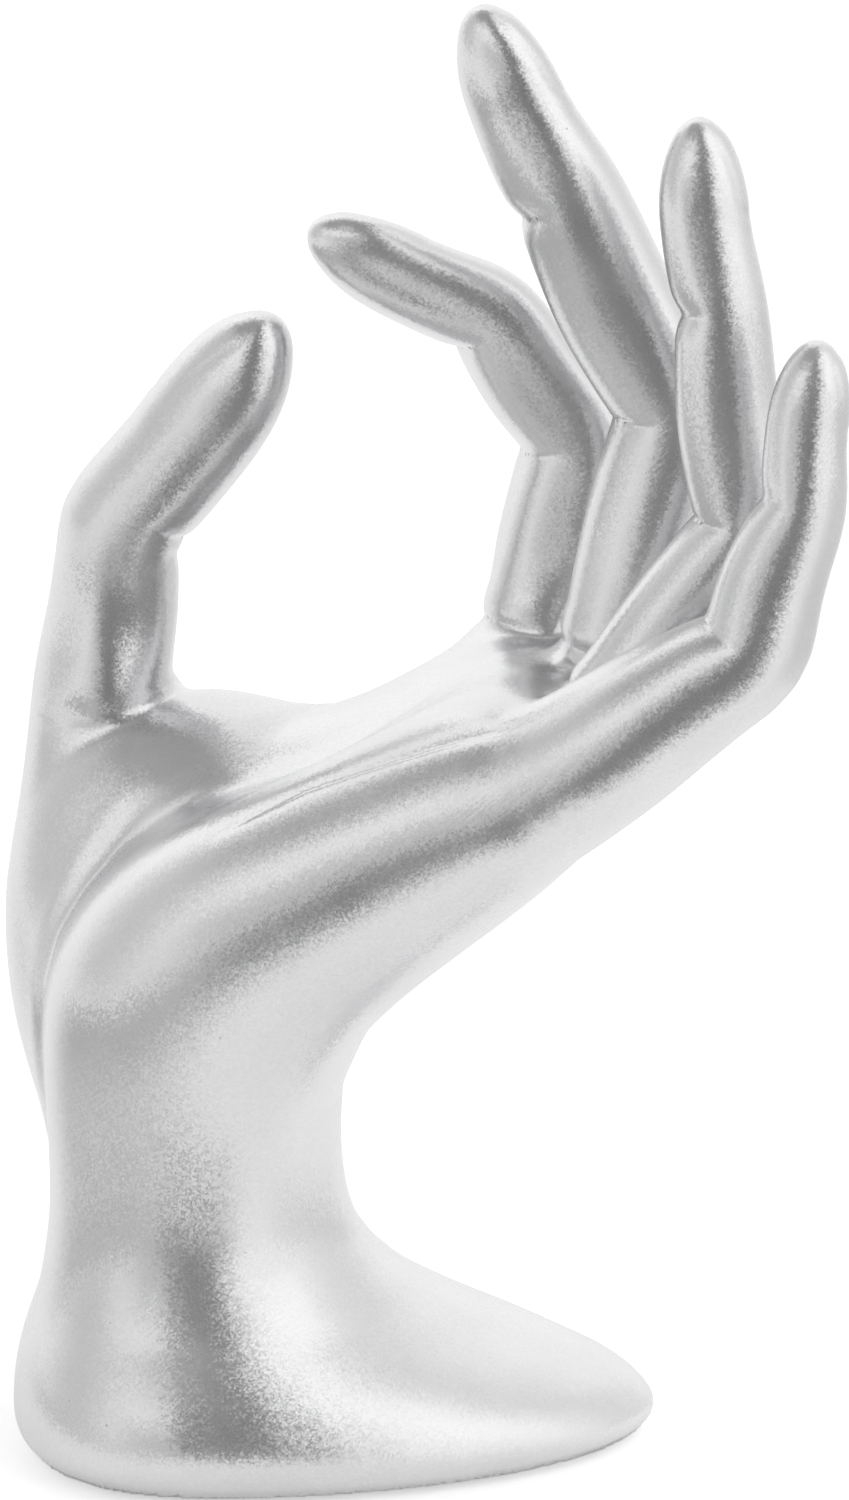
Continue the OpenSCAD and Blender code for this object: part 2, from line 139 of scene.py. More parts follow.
# lengths, turns and leans of the three phalanges, then what is sculpted on them:
# folds and pads are depths and bulges at the two joints, and foldShift moves them along the digit,
# rootFold is the depth of the line round the root,
# crispSide is the side on which the root stays sharp (palm side unless given),
# crispFrom and crispFade are where that fades out,
# stub is how much of the digit the smoothing of the palm sees,
# outerEdge keeps the back smoothing on one side: where it ends and how softly,
# runBack carries the digit on below its seat: how far, and how fast it thins out,
# waist draws in the palm side: place, reach and depth,
# skew turns the oval of the section and square flattens its sides,
# nail is its length as a share of the last phalanx, and its depth
digits = {
    "thumb": {
        "seat": onMound(0.378, 0.429, 0.1246), "side": -1,
        "lengths": [5, 17.6, 30.8], "turns": [66, -20.5, -29], "leans": [-3, -3, -9],
        "folds": [0.0, 0.7], "pads": [0.0, 0.2], "foldShift": 3.8, "rootFold": 0.0,
        "crispSide": (0.8, -0.6, 0.0), "crispFrom": 1, "crispFade": 9, "backFillet": 5.0, "backReach": 20.0,
        "runBack": (9.0, 0.0), "waist": (8, 13, 1.5), "skew": 0.6, "nail": (0.42, 0.05),
    },
    "index_finger": {
        "seat": pastPalm(0.1875, 0.375, 0.729), "side": 1,
        "lengths": [21.5, 17.3, 23], "turns": [40, 45, 28], "leans": [5, -6, -9],
        "folds": [0.5, 0.4], "pads": [0.15, 0.35], "rootFold": 0.5, "crispFrom": -2, "stub": 4.0,
        "skew": 0.7, "square": 0.25, "nail": (0.48, 0.06),
    },
    "middle_finger": {
        "seat": pastPalm(0.4125, 0.125, 0.511), "side": 1,
        "lengths": [27.5, 26.5, 23.5], "turns": [39, 39, -2.5], "leans": [0, 0, 0],
        "folds": [0.6, 0.55], "pads": [0.3, 0.45], "rootFold": 0.5, "crispFrom": -2, "stub": 4.0,
        "skew": 0.4, "nail": (0.46, 0.06),
    },
    "ring_finger": {
        "seat": pastPalm(0.3187, -0.143, 0.422), "side": 1,
        "lengths": [25, 24, 21.2], "turns": [17, 41, -0.5], "leans": [-1, 2, 4],
        "folds": [0.6, 0.55], "pads": [0.3, 0.45], "rootFold": 0.5, "crispFrom": -2, "stub": 4.0,
        "nail": (0.46, 0.06),
    },
    "little_finger": {
        "seat": pastPalm(0.3031, -0.402, 0.42), "side": 1,
        "lengths": [18.5, 16.5, 18], "turns": [-2, 35, 12], "leans": [-3, 2, 5],
        "folds": [0.25, 0.25], "pads": [0.15, 0.25], "rootFold": 0.0, "crispFrom": 99, "stub": 12.0,
        "outerEdge": (4.0, 6), "runBack": (14.0, 0.012), "nail": (0.46, 0.06),
    },
}


# middle line of a digit: points, direction, palm side and flank at steps along it
def digitLine(spec, step=0.2):
    ends = np.cumsum(spec["lengths"])
    s = np.arange(0.0, ends[-1] + step / 2, step)

    def turned(steps, at):
        value = np.full_like(at, float(steps[0]))
        for joint, part in zip(ends[:-1], steps[1:]):
            value = value + part * ease(0.5 + (at - joint) / (2 * hand["jointReach"]))
        return np.radians(value)

    leanSteps = [spec["leans"][0]] + [b - a for a, b in zip(spec["leans"], spec["leans"][1:])]

    def along(at):
        a = math.radians(hand["palmSlope"]) + turned(spec["turns"], at)
        b = turned(leanSteps, at)
        return np.stack([np.cos(a) * np.cos(b), np.sin(b), np.sin(a) * np.cos(b)], 1), a

    mids, _ = along((s[1:] + s[:-1]) / 2)
    points = spec["seat"] + np.vstack([np.zeros(3), np.cumsum(mids * step, 0)])
    way, slope = along(s)
    palm = spec["side"] * np.stack([-np.sin(slope), 0 * slope, np.cos(slope)], 1)
    return {"s": s, "points": points, "way": way, "palm": palm, "flank": np.cross(palm, way), "length": ends[-1]}


for spec in digits.values():
    spec["line"] = digitLine(spec)


# one smooth skin over palm and digits, from distance fields of the solids
skin = {
    "voxel": 0.5, "margin": 6.0, "band": 9.0, "digitRoom": 15,
    "palmBlur": 4.0, "valleyBlur": 0.8, "rootBlur": 1.0, "digitBlur": 0.75, "backBlur": 2.4,
    # what each smoothing takes off is given back
    "palmSwell": 0.5, "rootSwell": 0.06, "digitSwell": 0.04, "backSwell": 0.2,
    "valley": 0.6, "valleySoft": 0.3,            # valleys deeper than this stay sharp
    "footTop": 22.0, "footFade": 8.0,            # the foot is smoothed less below this height
    # how far round its seat a digit's root and back are treated, unless the digit says so
    "rootReach": 7.0, "backReach": 10.0, "rootFade": 7.0, "crispFade": 4, "crispAt": 0.75,
    "fillet": 1.6, "crispFillet": 0.7, "backFillet": 2.2,
    "waistRise": (9, 0.1, 0.8),                  # how the waist comes in from the flank to the palm side
    "sinkDepth": 2.5, "sinkLength": 7,           # a digit that runs back sinks into the hand before it ends
    "relaxSteps": 6, "relaxShare": 0.6, "settleSteps": 2,
    "ownReach": 0.9, "seatReach": 14,            # what counts as a digit's skin, and as near its seat
    "capDepth": 0.6,                             # the faces that close a cut lie this far inside
}
voxel = skin["voxel"]
gridLow = np.floor((np.array(cadBox[0]) * 1000 - skin["margin"]) / voxel).astype(int)
gridSize = np.ceil((np.array(cadBox[1]) * 1000 + skin["margin"]) / voxel).astype(int) - gridLow
gridSpace = openvdb.createLinearTransform(voxelSize=voxel)


def distanceField(names, start, size):
    parts, faces, count = [], [], 0
    for name in names:
        p, t = nodeMesh(name)
        parts.append(p)
        faces.append(t + count)
        count += len(p)
    grid = openvdb.FloatGrid.createLevelSetFromPolygons(
        np.vstack(parts), triangles=np.vstack(faces), transform=gridSpace, halfWidth=skin["band"] / voxel)
    field = np.zeros(tuple(size), np.float32)
    grid.copyToArray(field, ijk=tuple(int(v) for v in start))
    return field


# three box passes along each axis, close to a round blur
def blurred(field, sigma):
    width = max(1, int(round(math.sqrt(4 * (sigma / voxel) ** 2 + 1))) // 2 * 2 + 1)
    half = width // 2
    out = field.astype(np.float64)
    for axis in range(3):
        for _ in range(3):
            pads = [(0, 0)] * 3
            pads[axis] = (half + 1, half)
            total = np.cumsum(np.pad(out, pads, mode="edge"), axis=axis)
            first = np.arange(out.shape[axis])
            out = (np.take(total, first + width, axis=axis) - np.take(total, first, axis=axis)) / width
    return out


def gridPoints(start, size):
    axes = [(start[i] + np.arange(size[i])) * voxel for i in range(3)]
    return np.meshgrid(*axes, indexing="ij")


def sample(field, points, low=gridLow):
    q = points / voxel - low
    i = np.clip(np.floor(q).astype(int), 0, np.array(field.shape) - 2)
    f = q - i
    value = 0.0
    for dx in (0, 1):
        for dy in (0, 1):
            for dz in (0, 1):
                w = np.abs(1 - dx - f[:, 0]) * np.abs(1 - dy - f[:, 1]) * np.abs(1 - dz - f[:, 2])
                value = value + w * field[i[:, 0] + dx, i[:, 1] + dy, i[:, 2] + dz]
    return value


def slopeOf(field, points):
    d = 0.7 * voxel
    return np.stack([(sample(field, points + d * e) - sample(field, points - d * e)) / (2 * d) for e in np.eye(3)], 1)


# the pad stands proud of the underside, in a recess with a soft edge
padRecess = {"proud": 0.8, "depth": 1.02, "edge": 0.35, "edgeFade": 0.7, "highest": 2.2, "facing": -0.9}
body = distanceField(["hand_body", "digit_dowels"], gridLow, gridSize)
heights = (gridLow[2] + np.arange(gridSize[2])) * voxel
padSolid = distanceField(["base_pad"], gridLow, gridSize)
body = np.minimum(body, np.maximum(padSolid, padRecess["proud"] - heights))          # underside closed flat for now

blocks = {}
for name, spec in digits.items():
    line, seat = spec["line"], spec["seat"]
    start = np.maximum(np.floor((line["points"].min(0) - skin["digitRoom"]) / voxel).astype(int), gridLow)
    stop = np.minimum(np.ceil((line["points"].max(0) + skin["digitRoom"]) / voxel).astype(int), gridLow + gridSize)
    place = tuple(slice(a, b) for a, b in zip(start - gridLow, stop - gridLow))
    field = distanceField([name, "digit_dowels"], start, stop - start)
    px, py, pz = gridPoints(start, stop - start)
    off = np.stack([px - seat[0], py - seat[1], pz - seat[2]], -1)
    ahead = off @ line["way"][0]
    field = np.where(ahead < -skin["band"], skin["band"], field)          # leaves the other digits' dowels out
    if "waist" in spec:
        at, width, depth = spec["waist"]
        flank, early, rise = skin["waistRise"]
        palmShare = ease((off @ line["palm"][0] / flank + early) / rise)
        field = field + depth * np.exp(-((ahead - at) / width) ** 2) * palmShare
    if "runBack" in spec:
        reach, thinning = spec["runBack"]
        behind = ahead < 1
        moved = np.stack([px, py, pz], -1)[behind] + (1 - ahead[behind])[:, None] * line["way"][0]
        thinner = sample(field, moved, start) + thinning * (1 - ahead[behind]) ** 2
        thinner += skin["sinkDepth"] * ease((skin["sinkLength"] - reach - ahead[behind]) / skin["sinkLength"])
        field[behind] = np.maximum(thinner, -reach - ahead[behind])
    if "stub" in spec:
        body[place] = np.minimum(body[place], np.maximum(field, ahead - spec["stub"]))
    outer = 1.0
    if "outerEdge" in spec:
        edge, soft = spec["outerEdge"]
        outer = ease((edge - off[..., 1]) / soft)
    side = np.array(spec.get("crispSide", line["palm"][0]))
    crispFade = spec.get("crispFade", skin["crispFade"])
    blocks[name] = {
        "place": place, "field": field, "away": np.linalg.norm(off, axis=-1), "outer": outer,
        "crisp": ease((off @ side - spec["crispFrom"]) / crispFade + skin["crispAt"]),
        "sharp": 0.0 if "runBack" in spec else 1.0,
        "backFillet": spec.get("backFillet", skin["backFillet"]), "backReach": spec.get("backReach", skin["backReach"]),
    }
print("fields sampled:", body.shape)

# broad smoothing over the palm, less at the sharp digit roots and the foot
nearRoot = np.broadcast_to(ease((skin["footTop"] - heights) / skin["footFade"]), body.shape).copy()
for b in blocks.values():
    near = 1 - ease((b["away"] - skin["rootReach"]) / skin["rootFade"])
    nearRoot[b["place"]] = np.maximum(nearRoot[b["place"]], near * b["crisp"] * b["sharp"])
fine = blurred(body, skin["valleyBlur"])
broad = blurred(body, skin["palmBlur"]) - skin["palmSwell"]
sharper = blurred(body, skin["rootBlur"]) - skin["rootSwell"]
palmField = mix(softMax(fine - skin["valley"], broad, skin["valleySoft"]), sharper, nearRoot)


# 1 at a place, fading to 0 a little way round it
def around(place, reach):
    px, py, pz = gridPoints(gridLow, gridSize)
    return np.exp(-((px - place[0]) ** 2 + (py - place[1]) ** 2 + (pz - place[2]) ** 2) / (2 * reach ** 2))


# the web rises to the root of the thumb and the mound covers its foot: place, reach and height,
# one round mound lies below both, and the ends of the root line are smoothed away
thumbRoot = {
    "raised": [((-13, 21, 73), 5.5, 1.8), ((-19, 14, 75), 5.0, 3.0)],
    "mound": ((-18, 13, 73), 6.5), "moundShare": 1.4, "moundBlur": 3.6, "moundSwell": 0.5,
    "lineEnds": [((-31, 18, 75), 3.5), ((-35, 18, 65), 5.0)],
}
for place, reach, height in thumbRoot["raised"]:
    palmField -= height * around(place, reach)
under = np.minimum(thumbRoot["moundShare"] * around(*thumbRoot["mound"]), 1.0)
palmField = mix(palmField, blurred(palmField, thumbRoot["moundBlur"]) - thumbRoot["moundSwell"], under)
skinField = palmField.copy()
for b in blocks.values():
    b["field"] = blurred(b["field"], skin["digitBlur"]) - skin["digitSwell"]
    fillet = mix(b["backFillet"] * skin["fillet"], skin["crispFillet"] * skin["fillet"], b["crisp"])
    skinField[b["place"]] = np.minimum(skinField[b["place"]], softMin(palmField[b["place"]], b["field"], fillet))

# a second smoothing where the backs of the digits run into the hand
backRoot = np.zeros(body.shape)
for b in blocks.values():
    near = 1 - ease((b["away"] - b["backReach"]) / skin["rootFade"])
    backRoot[b["place"]] = np.maximum(backRoot[b["place"]], near * (1 - b["crisp"]) * b["outer"])
for place, reach in thumbRoot["lineEnds"]:
    backRoot = np.maximum(backRoot, around(place, reach))
skinField = mix(skinField, blurred(skinField, skin["backBlur"]) - skin["backSwell"], backRoot)
print("skin field ready")


def quadNormals(points, quads):
    corner = points[quads]
    return np.cross(corner[:, 2] - corner[:, 0], corner[:, 3] - corner[:, 1])


meshGrid = openvdb.FloatGrid()
meshGrid.copyFromArray(skinField.astype(np.float32), ijk=tuple(int(v) for v in gridLow))
meshGrid.transform = gridSpace
points, quads = meshGrid.convertToQuads(isovalue=0.0)
points, quads = np.array(points, np.float64), np.array(quads, np.int64)
if np.einsum("ij,ij->", quadNormals(points, quads), points[quads].mean(1)) < 0:
    quads = quads[:, ::-1]


def edgesOf(faces):
    return np.vstack([faces[:, [i, (i + 1) % faces.shape[1]]] for i in range(faces.shape[1])])


# label of the connected shell that each point is in
def shellOf(count, faces):
    label = np.arange(count)
    edges = edgesOf(faces)
    while True:
        least = np.minimum(label[edges[:, 0]], label[edges[:, 1]])
        new = label.copy()
        np.minimum.at(new, edges[:, 0], least)
        np.minimum.at(new, edges[:, 1], least)
        new = new[new]
        if (new == label).all():
            return label
        label = new


def inLargest(label):
    labels, sizes = np.unique(label, return_counts=True)
    return label == labels[np.argmax(sizes)]


keep = inLargest(shellOf(len(points), quads))
quads = (np.cumsum(keep) - 1)[quads[keep[quads[:, 0]]]]
points = points[keep]
edges = edgesOf(quads)
degree = np.bincount(edges.ravel(), minlength=len(points)).astype(float)


def neighbourMean(values):
    total = [np.bincount(edges[:, 0], v[edges[:, 1]], len(v)) + np.bincount(edges[:, 1], v[edges[:, 0]], len(v))
             for v in values.T]
    return np.stack(total, 1) / degree[:, None]


# points are evened out along the surface and set back on it
for step in range(skin["relaxSteps"]):
    points = points + skin["relaxShare"] * (neighbourMean(points) - points)
    for _ in range(skin["settleSteps"]):
        g = slopeOf(skinField, points)
        points = points - g * (sample(skinField, points) / np.maximum((g * g).sum(1), 0.05))[:, None]
normals = unit(slopeOf(skinField, points))
print("skin:", len(points), "points", len(quads), "quads")


# which digit each point belongs to, -1 for the palm, wrist and foot
digitNames = list(digits)
owner = np.full(len(points), -1)
closest = np.full(len(points), skin["ownReach"])
for number, name in enumerate(digitNames):
    spec = digits[name]
    field = np.full(body.shape, skin["band"])
    field[blocks[name]["place"]] = blocks[name]["field"]
    away = np.abs(sample(field, points))
    ahead = (points - spec["seat"]) @ spec["line"]["way"][0]
    near = np.linalg.norm(points - spec["seat"], axis=1) < skin["seatReach"]
    mine = (away < closest) & ((ahead > 0) | ~near)
    owner[mine] = number
    closest[mine] = away[mine]


# what the digits share: where the palm side starts, the fold and pad at a joint, how the turned section fades
digitForm = {
    "palmFrom": 0.1, "palmRise": 0.75, "foldWidth": 0.9, "padShare": 0.88, "padPower": 1.2,
    "turnFrom": 2, "turnFade": 8,
}
# shares of the last phalanx and of its width, then millimetres: a groove, a low rim outside it and the raised plate
nailForm = {
    "halfWidth": 0.66, "measured": (0.75, 0.4), "setBack": 0.08, "corner": 2.2, "wrap": 2.0, "tipGap": 0.2,
    "groove": 0.5, "rim": (0.35, 0.9, 0.8), "plate": (0.25, 0.8),
}
rootLine = {"ahead": 0.3, "widths": (0.6, 1.1), "reach": 13.0, "reachFade": 2.0, "sideEarly": 0.1, "sideRise": 0.5}


# folds, pads and nails of the digits, as moves along the normals
def sculptDigit(spec, p):
    line = spec["line"]
    nearest = np.concatenate([((part[:, None, :] - line["points"][None]) ** 2).sum(2).argmin(1)
                              for part in np.array_split(p, max(1, len(p) // 4000))])
    q = p - line["points"][nearest]
    s = line["s"][nearest]
    s = s + np.where((s > 0) & (s < line["length"]), (q * line["way"][nearest]).sum(1), 0)
    out = (q * line["palm"][nearest]).sum(1)
    across = (q * line["flank"][nearest]).sum(1)
    r = np.hypot(out, across) + 1e-6
    palmMask = ease((out / r - digitForm["palmFrom"]) / digitForm["palmRise"])
    last, tip = spec["lengths"][-1], line["length"]
    joints = np.cumsum(spec["lengths"])[:-1] + spec.get("foldShift", 0)
    padLengths = (spec["lengths"][1], digitForm["padShare"] * last)
    move = np.zeros(len(p))
    for at, depth in zip(joints, spec["folds"]):
        move -= depth * np.exp(-np.abs(s - at) / digitForm["foldWidth"]) * palmMask
    for start, length, bulge in zip(joints, padLengths, spec["pads"]):
        move += bulge * np.sin(math.pi * np.clip((s - start) / length, 0, 1)) ** digitForm["padPower"] * palmMask

    right = (q * np.cross(line["way"][nearest], (0, -1, 0))).sum(1)
    turn = np.arctan2(right, -q[:, 1])          # 0 on the side away from the thumb
    section = spec.get("skew", 0) * np.sin(2 * turn) - spec.get("square", 0) * np.cos(4 * turn)
    fade = digitForm["turnFade"]
    move += section * ease((s - digitForm["turnFrom"]) / fade) * ease((tip - s) / fade)

    angle = np.arctan2(across, -out)          # 0 on the back of the digit
    nailLength, nailDepth = spec["nail"][0] * last, spec["nail"][1]
    below, above = nailForm["measured"]
    nailHalf = nailForm["halfWidth"] * np.median(r[(s > tip - below * last) & (s < tip - above * last)])
    corner = nailForm["corner"]
    dx = np.abs(s - tip + nailForm["setBack"] * last + nailLength / 2) - (nailLength / 2 - corner)
    dy = np.abs(angle * r) - (nailHalf - corner)
    edge = np.minimum(np.maximum(dx, dy), 0) + np.hypot(np.maximum(dx, 0), np.maximum(dy, 0)) - corner
    rim, rimAt, rimWidth = nailForm["rim"]
    plate, plateFade = nailForm["plate"]
    nail = -np.exp(-(edge / nailForm["groove"]) ** 2)
    nail = nail + rim * np.exp(-((edge - rimAt) / rimWidth) ** 2) + plate * ease(-edge / plateFade)
    move += nailDepth * np.where(np.abs(angle) < nailForm["wrap"], nail, 0) * ease(tip + nailForm["tipGap"] - s)
    return move


detail = np.zeros(len(points))
for number, name in enumerate(digitNames):
    spec = digits[name]
    mine = np.where(owner == number)[0]
    detail[mine] += sculptDigit(spec, points[mine])

    # the line round the root, sharp on one side of the digit
    off = points - spec["seat"]
    ahead = off @ spec["line"]["way"][0]
    flat = off - ahead[:, None] * spec["line"]["way"][0]
    across = np.linalg.norm(flat, axis=1)
    side = np.array(spec.get("crispSide", spec["line"]["palm"][0]))
    mask = ease((flat @ side / np.maximum(across, 1e-6) + rootLine["sideEarly"]) / rootLine["sideRise"])
    mask = mask * ease((rootLine["reach"] - across) / rootLine["reachFade"])
    mask = mask * ((owner == number) | (owner == -1))
    past = ahead - rootLine["ahead"]
    detail -= spec["rootFold"] * np.exp(-np.abs(past) / np.where(past > 0, *rootLine["widths"])) * mask

# the line across the palm, from the mound of the thumb to the little finger
palmLine = {
    "through": [(-15, -17, 71), (-9, -17, 75), (-3, -17, 78), (5, -19, 81), (13, -21, 84), (23, -24, 88)],
    "depth": 0.4, "widths": (0.5, 2.4), "fade": 9.0,          # steep below the line, a long slope above it
    "reach": 8, "faraway": 99.0,
}
away, share, width = np.full(len(points), palmLine["faraway"]), np.zeros(len(points)), np.ones(len(points))
knots = np.array(palmLine["through"], float)
lengths = np.concatenate([[0], np.cumsum(np.linalg.norm(np.diff(knots, axis=0), axis=1))])
for a, b, start in zip(knots, knots[1:], lengths):
    run = b - a
    along = np.clip((points - a) @ run / (run @ run), 0, 1)
    off = points - a - along[:, None] * run
    outOfReach = np.linalg.norm(off, axis=1) > palmLine["reach"]
    off = off - (off * normals).sum(1)[:, None] * normals          # measured along the surface
    gap = np.where(outOfReach, palmLine["faraway"], np.linalg.norm(off, axis=1))
    closer = gap < away
    share = np.where(closer, start + along * np.linalg.norm(run), share)
    width = np.where(closer, np.where(off[:, 2] < 0, *palmLine["widths"]), width)
    away = np.minimum(away, gap)
shown = ease(share / palmLine["fade"]) * ease((lengths[-1] - share) / palmLine["fade"]) * (owner == -1)
detail -= palmLine["depth"] * np.exp(-away / width) * shown
points = points + normals * detail[:, None]

# recess for the pad in the flat underside
padOutline = nodeMesh("base_pad")[0]
padOutline = padOutline[padOutline[:, 2] < 0.05][:, :2]
padCentre = (padOutline.min(0) + padOutline.max(0)) / 2
padOutline = padOutline[np.argsort(np.arctan2(*(padOutline - padCentre).T[::-1]))]
padOutline = padOutline[np.linalg.norm(padOutline - np.roll(padOutline, 1, 0), axis=1) > 1e-3]
run = np.roll(padOutline, -1, 0) - padOutline
outward = unit(np.stack([run[:, 1], -run[:, 0]], 1))
below = (points[:, 2] < padRecess["highest"]) & (normals[:, 2] < padRecess["facing"])
pastEdge = ((points[below, None, :2] - padOutline[None]) * outward[None]).sum(2).max(1)
inside = ease((padRecess["edge"] - pastEdge) / padRecess["edgeFade"])
points[below, 2] = padRecess["proud"] + padRecess["depth"] * inside
print("folds, nails and pad recess done:", int(below.sum()), "points underneath")


# faces go to the palm or a digit, with no loose islands
faceOwner = np.full(len(quads), -1)
for number in range(len(digitNames)):
    mine = np.where((owner[quads] == number).sum(1) >= 3)[0]
    whole = inLargest(shellOf(len(points), quads[mine])[quads[mine, 0]])
    faceOwner[mine[whole]] = number
rest = np.where(faceOwner == -1)[0]
whole = inLargest(shellOf(len(points), quads[rest])[quads[rest, 0]])
for island in rest[~whole]:
    faceOwner[island] = owner[quads[island]].max()

faceNormals = quadNormals(points, quads)
vertexNormals = unit(np.stack([sum(np.bincount(quads[:, i], faceNormals[:, axis], len(points)) for i in range(4))
                               for axis in range(3)], 1))


# a closed piece of the skin: its faces, and a fan set a little inside over each cut
def skinPiece(name, node, faces, inward):
    directed = edgesOf(faces)
    code = directed[:, 0] * len(points) + directed[:, 1]
    back = directed[:, 1] * len(points) + directed[:, 0]
    after = dict(directed[~np.isin(code, back)].tolist())          # open edges, from point to point
    used = np.unique(faces)
    index = np.full(len(points), -1)
    index[used] = np.arange(len(used))
    co = (points[used] / 1000.0).tolist()
    normal = vertexNormals[used].tolist()
    polys = index[faces].tolist()
    while after:
        first, at = next(iter(after.items()))
        del after[first]
        loop = [first]
        while at != first:
            loop.append(at)
            at = after.pop(at)
        middle = points[loop].mean(0)
        push = inward(middle)
        co.append(((middle + skin["capDepth"] * push) / 1000.0).tolist())
        normal.append((-push).tolist())
        polys += [[index[b], index[a], len(co) - 1] for a, b in zip(loop, loop[1:] + loop[:1])]
    me = bpy.data.meshes.new(name)
    me.from_pydata(co, [], polys)
    me.update()
    me.shade_smooth()
    me.normals_split_custom_set_from_vertices(normal)
    ob = bpy.data.objects.new(name, me)
    scene.collection.objects.link(ob)
    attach(ob, "root")
    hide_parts(node)
    return ob


def intoBody(middle):
    spec = min(digits.values(), key=lambda d: np.linalg.norm(d["seat"] - middle))
    return -spec["line"]["way"][0]


castings = [skinPiece("hand_body_skin", "hand_body", quads[faceOwner == -1], intoBody)]
for number, name in enumerate(digitNames):
    way = digits[name]["line"]["way"][0]
    castings.append(skinPiece(name + "_skin", name, quads[faceOwner == number], lambda middle: way))
print("castings:", [(ob.name, len(ob.data.polygons)) for ob in castings])


# felt pad glued into the recess, with a soft edge and a slightly uneven nap
feltPad = {
    "points": 200, "rings": 22, "nap": 0.05, "seed": 7,
    # inset and height of the rings, from the underside up
    "profile": [(0.9, 0.0), (0.35, 0.02), (0.1, 0.16), (0.0, 0.45),
                (0.0, 1.1), (0.14, 1.42), (0.5, 1.62), (0.9, 1.68)],
}


def makeFeltPad():
    loop = np.vstack([padOutline, padOutline[:1]])
    length = np.concatenate([[0], np.cumsum(np.linalg.norm(np.diff(loop, axis=0), axis=1))])
    at = np.linspace(0, length[-1], feltPad["points"], endpoint=False)
    outline = np.stack([np.interp(at, length, loop[:, i]) for i in range(2)], 1)
    reach = np.linalg.norm(outline - padCentre, axis=1)[:, None]
    rng = np.random.RandomState(feltPad["seed"])
    inner = np.linspace(1, 0.02, feltPad["rings"])
    rings = [(share, *feltPad["profile"][0]) for share in inner[::-1]]
    rings += [(1.0, inset, z) for inset, z in feltPad["profile"][1:-1]]
    rings += [(share, *feltPad["profile"][-1]) for share in inner]
    co = []
    for share, inset, z in rings:
        flat = padCentre + (outline - padCentre) * (1 - inset / reach) * share
        rough = rng.uniform(-1, 1, (len(flat), 3)) * feltPad["nap"] * np.array([1, 1, 0.5 if z > 0.01 else 0.0])
        co.append(np.column_stack([flat, np.full(len(flat), z)]) + rough)
    n = feltPad["points"]
    faces = [(i * n + k, i * n + (k + 1) % n, (i + 1) * n + (k + 1) % n, (i + 1) * n + k)
             for i in range(len(rings) - 1) for k in range(n)]
    faces += [tuple(range(n - 1, -1, -1)), tuple((len(rings) - 1) * n + k for k in range(n))]
    me = bpy.data.meshes.new("felt_base_pad")
    me.from_pydata((np.vstack(co) / 1000.0).tolist(), [], faces)
    me.update()
    me.shade_smooth()
    ob = bpy.data.objects.new("felt_base_pad", me)
    scene.collection.objects.link(ob)
    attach(ob, "root")
    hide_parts("base_pad")
    return ob


felt = makeFeltPad()
print("felt pad:", len(felt.data.polygons), "faces")


# shader groups
def newGroup(name, inputs, outputs):
    tree = bpy.data.node_groups.new(name, "ShaderNodeTree")
    for label, kind, value in inputs:
        tree.interface.new_socket(label, in_out="INPUT", socket_type=kind).default_value = value
    for label, kind in outputs:
        tree.interface.new_socket(label, in_out="OUTPUT", socket_type=kind)
    return tree, tree.nodes.new("NodeGroupInput"), tree.nodes.new("NodeGroupOutput")


def addNode(tree, kind, settings=None, **links):
    node = tree.nodes.new(kind)
    for key, value in (settings or {}).items():
        if key in node.bl_rna.properties:
            setattr(node, key, value)
        else:
            node.inputs[key if not key.isdigit() else int(key)].default_value = value
    for key, source in links.items():
        numbered = key[0] == "i" and key[1:].isdigit()          # i0, i1 are inputs by number
        tree.links.new(source, node.inputs[int(key[1:]) if numbered else key])
    return node


def smoothStep(tree, value, start, full):
    limits = {"interpolation_type": "SMOOTHSTEP", "From Min": start, "From Max": full}
    return addNode(tree, "ShaderNodeMapRange", limits, Value=value).outputs[0]


# metal flakes in the paint: each flake tilts the normal a little, and its random Sparkle value is used as a painted
# glint
def makeFlakeGrain():
    tree, start, end = newGroup("flakeGrain", [("Scale", "NodeSocketFloat", 3000.0), ("Tilt", "NodeSocketFloat", 0.15)],
                                [("Normal", "NodeSocketVector"), ("Sparkle", "NodeSocketFloat")])
    where = addNode(tree, "ShaderNodeTexCoord")
    surface = addNode(tree, "ShaderNodeNewGeometry")
    normal = surface.outputs["Normal"]
    sparkle = None
    for size, share in ((1.0, 1.0), (2.6, 0.7)):
        scale = addNode(tree, "ShaderNodeMath", {"operation": "MULTIPLY", "1": size}, i0=start.outputs["Scale"])
        flakes = addNode(tree, "ShaderNodeTexVoronoi", None, Vector=where.outputs["Object"], Scale=scale.outputs[0])
        centred = addNode(tree, "ShaderNodeVectorMath", {"operation": "SUBTRACT", "1": (0.5, 0.5, 0.5)},
                          i0=flakes.outputs["Color"])
        tilt = addNode(tree, "ShaderNodeMath", {"operation": "MULTIPLY", "1": share}, i0=start.outputs["Tilt"])
        lean = addNode(tree, "ShaderNodeVectorMath", {"operation": "SCALE"},
                       i0=centred.outputs[0], Scale=tilt.outputs[0])
        total = addNode(tree, "ShaderNodeVectorMath", {"operation": "ADD"}, i0=normal, i1=lean.outputs[0])
        normal = total.outputs[0]
        sparkle = sparkle or addNode(tree, "ShaderNodeSeparateColor", None, Color=flakes.outputs["Color"]).outputs[0]
    even = addNode(tree, "ShaderNodeVectorMath", {"operation": "NORMALIZE"}, i0=normal)
    tree.links.new(even.outputs[0], end.inputs["Normal"])
    tree.links.new(sparkle, end.inputs["Sparkle"])
    return tree


